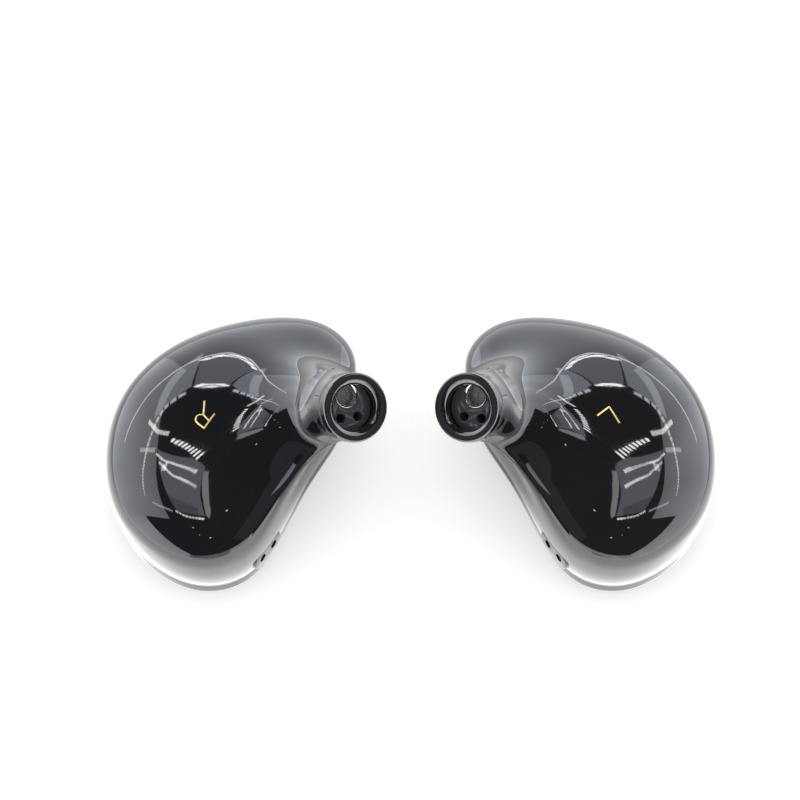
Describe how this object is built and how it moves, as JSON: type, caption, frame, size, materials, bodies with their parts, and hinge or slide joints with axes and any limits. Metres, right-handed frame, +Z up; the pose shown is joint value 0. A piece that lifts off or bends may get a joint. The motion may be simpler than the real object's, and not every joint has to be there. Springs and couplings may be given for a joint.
{
  "type": "in-ear monitors",
  "caption": "Pair of glossy black in-ear monitors with rounded shells, lipped nozzles with sound bores, inner drivers, flat faceplates and 2-pin cable sockets.",
  "frame": {"origin": "on the table under the middle of the pair, in the plane the faceplates rest on", "axes": "+Z up, +X from the right earpiece to the left one, +Y away from the side that the nozzles lean to"},
  "size_m": [0.057, 0.0275, 0.0178],
  "materials": {
    "lacquer_black": "mirror-gloss black resin under clear lacquer",
    "plug_black": "gloss black resin",
    "polished_steel": "polished",
    "damper_mesh": "fine woven mesh",
    "clear_tube": "soft translucent tube",
    "driver_can": "satin nickel",
    "cradle_resin": "matt printed resin",
    "board_green": "solder-resist green",
    "chip_ceramic": "ceramic",
    "socket_black": "satin moulded plastic",
    "contact_gold": "gold-plated",
    "wire_enamel": "enamelled copper"
  },
  "bodies": {
    "right_earpiece": {"right_shell": "lacquer_black", "right_faceplate": "lacquer_black", "right_nozzle": "lacquer_black", "right_bore_plug": "plug_black", "right_bass_sleeve": "polished_steel", "right_dampers": "damper_mesh", "right_bass_tube": "clear_tube", "right_mid_tube": "clear_tube", "right_treble_tube": "clear_tube", "right_bass_driver": "driver_can", "right_mid_driver": "driver_can", "right_treble_driver": "driver_can", "right_driver_cradle": "cradle_resin", "right_crossover_board": "board_green", "right_crossover_parts": "chip_ceramic", "right_socket": "socket_black", "right_socket_contacts": "contact_gold", "right_wires": "wire_enamel"},
    "left_earpiece": {"left_shell": "lacquer_black", "left_faceplate": "lacquer_black", "left_nozzle": "lacquer_black", "left_bore_plug": "plug_black", "left_bass_sleeve": "polished_steel", "left_dampers": "damper_mesh", "left_bass_tube": "clear_tube", "left_mid_tube": "clear_tube", "left_treble_tube": "clear_tube", "left_bass_driver": "driver_can", "left_mid_driver": "driver_can", "left_treble_driver": "driver_can", "left_driver_cradle": "cradle_resin", "left_crossover_board": "board_green", "left_crossover_parts": "chip_ceramic", "left_socket": "socket_black", "left_socket_contacts": "contact_gold", "left_wires": "wire_enamel"}
  },
  "joints": [
    {"name": "left_lift", "type": "slide", "parent": "right_earpiece", "child": "left_earpiece", "axis": [0, 0, 1], "range_m": [0, 0.04]}
  ]
}
